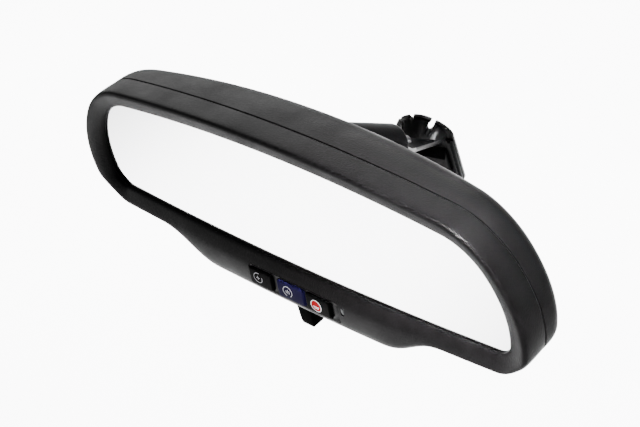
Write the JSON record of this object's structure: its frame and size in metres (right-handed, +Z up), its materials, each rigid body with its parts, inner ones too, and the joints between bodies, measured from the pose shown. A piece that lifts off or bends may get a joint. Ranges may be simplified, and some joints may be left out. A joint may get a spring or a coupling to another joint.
{
  "type": "interior rearview mirror",
  "caption": "Wide prismatic interior rearview mirror with a button chin, day/night lever, double-ball arm and slotted windscreen foot.",
  "frame": {"origin": "on the foot's windscreen face, midway across it, between its hollow and its button channel", "axes": "+X to the driver's right along the head, +Y towards the windscreen, +Z up; the head is square to the axes and the foot is turned and raked against it"},
  "size_m": [0.257, 0.114, 0.1091],
  "materials": {
    "casing_black": "fine-grained satin black moulded plastic",
    "mirror_glass": "silvered prismatic glass",
    "foam_pad": "closed-cell foam pad",
    "frame_black": "semi-gloss black plastic",
    "button_charcoal": "soft-touch charcoal plastic",
    "button_blue": "soft-touch indigo blue plastic",
    "button_black": "soft-touch black plastic",
    "circuit_board": "green circuit board",
    "switch_black": "moulded switch body",
    "lamp_lens": "translucent light pipe",
    "connector_black": "moulded connector",
    "contact_metal": "plated contacts",
    "plated_steel": "zinc-plated steel",
    "spring_steel": "spring steel",
    "cast_alloy": "die-cast alloy",
    "arm_black": "satin black coated tube",
    "nylon": "natural nylon",
    "foot_black": "glossy black moulding"
  },
  "bodies": {
    "foot": {"windscreen_foot": "foot_black", "bracket_ball_stud": "plated_steel", "foot_set_screw": "plated_steel"},
    "bracket_seat": {"bracket_ball_seat": "nylon"},
    "arm": {"arm_tube": "arm_black", "arm_spring": "spring_steel"},
    "mirror_seat": {"mirror_ball_seat": "nylon"},
    "carrier": {"carrier_plate": "cast_alloy", "carrier_pivot_rod": "plated_steel", "mirror_ball_stud": "plated_steel", "mirror_stud_nut": "plated_steel"},
    "head": {"front_bezel": "casing_black", "rear_housing": "casing_black", "mirror_glass": "mirror_glass", "glass_backing_pad": "foam_pad", "button_frame": "frame_black", "switch_board": "circuit_board", "tactile_switch_left": "switch_black", "tactile_switch_centre": "switch_black", "tactile_switch_right": "switch_black", "led_lens": "lamp_lens", "board_screw_left": "plated_steel", "board_screw_right": "plated_steel", "harness_connector": "connector_black", "connector_pin_1": "contact_metal", "connector_pin_2": "contact_metal", "connector_pin_3": "contact_metal", "connector_pin_4": "contact_metal", "lever_pivot_pin": "plated_steel", "detent_spring": "spring_steel"},
    "lever": {"day_night_lever": "casing_black"},
    "left_button": {"button_left": "button_charcoal"},
    "centre_button": {"button_centre": "button_blue"},
    "right_button": {"button_right": "button_black"}
  },
  "joints": [
    {"name": "bracket_turn", "type": "hinge", "parent": "foot", "child": "bracket_seat", "pos_m": [0.00945, -0.03649, 0.0227], "axis": [0, 0, 1], "range_deg": [-6, 40]},
    {"name": "bracket_tip", "type": "hinge", "parent": "bracket_seat", "child": "arm", "pos_m": [0.00945, -0.03649, 0.0227], "axis": [1, 0, 0], "range_deg": [-10, 15]},
    {"name": "mirror_turn", "type": "hinge", "parent": "arm", "child": "mirror_seat", "pos_m": [0.0065, -0.06414, 0.04048], "axis": [0, 0, 1], "range_deg": [-16, 12]},
    {"name": "mirror_tip", "type": "hinge", "parent": "mirror_seat", "child": "carrier", "pos_m": [0.0065, -0.06414, 0.04048], "axis": [1, 0, 0], "range_deg": [-30, 6]},
    {"name": "day_night_tilt", "type": "hinge", "parent": "carrier", "child": "head", "pos_m": [0.0065, -0.08064, 0.05528], "axis": [1, 0, 0], "range_deg": [0, 3.5]},
    {"name": "lever_flip", "type": "hinge", "parent": "head", "child": "lever", "pos_m": [0.0065, -0.09194, -0.01472], "axis": [1, 0, 0], "range_deg": [0, 18]},
    {"name": "left_button_press", "type": "slide", "parent": "head", "child": "left_button", "axis": [0, 1, 0], "range_m": [0, 0.0005], "stiffness_N_per_m": 1500, "springref_m": -0.0002},
    {"name": "centre_button_press", "type": "slide", "parent": "head", "child": "centre_button", "axis": [0, 1, 0], "range_m": [0, 0.0005], "stiffness_N_per_m": 1500, "springref_m": -0.0002},
    {"name": "right_button_press", "type": "slide", "parent": "head", "child": "right_button", "axis": [0, 1, 0], "range_m": [0, 0.0005], "stiffness_N_per_m": 1500, "springref_m": -0.0002}
  ],
  "couplings": [
    {"joint": "lever_flip", "follows": "day_night_tilt", "ratio": 5.14}
  ]
}
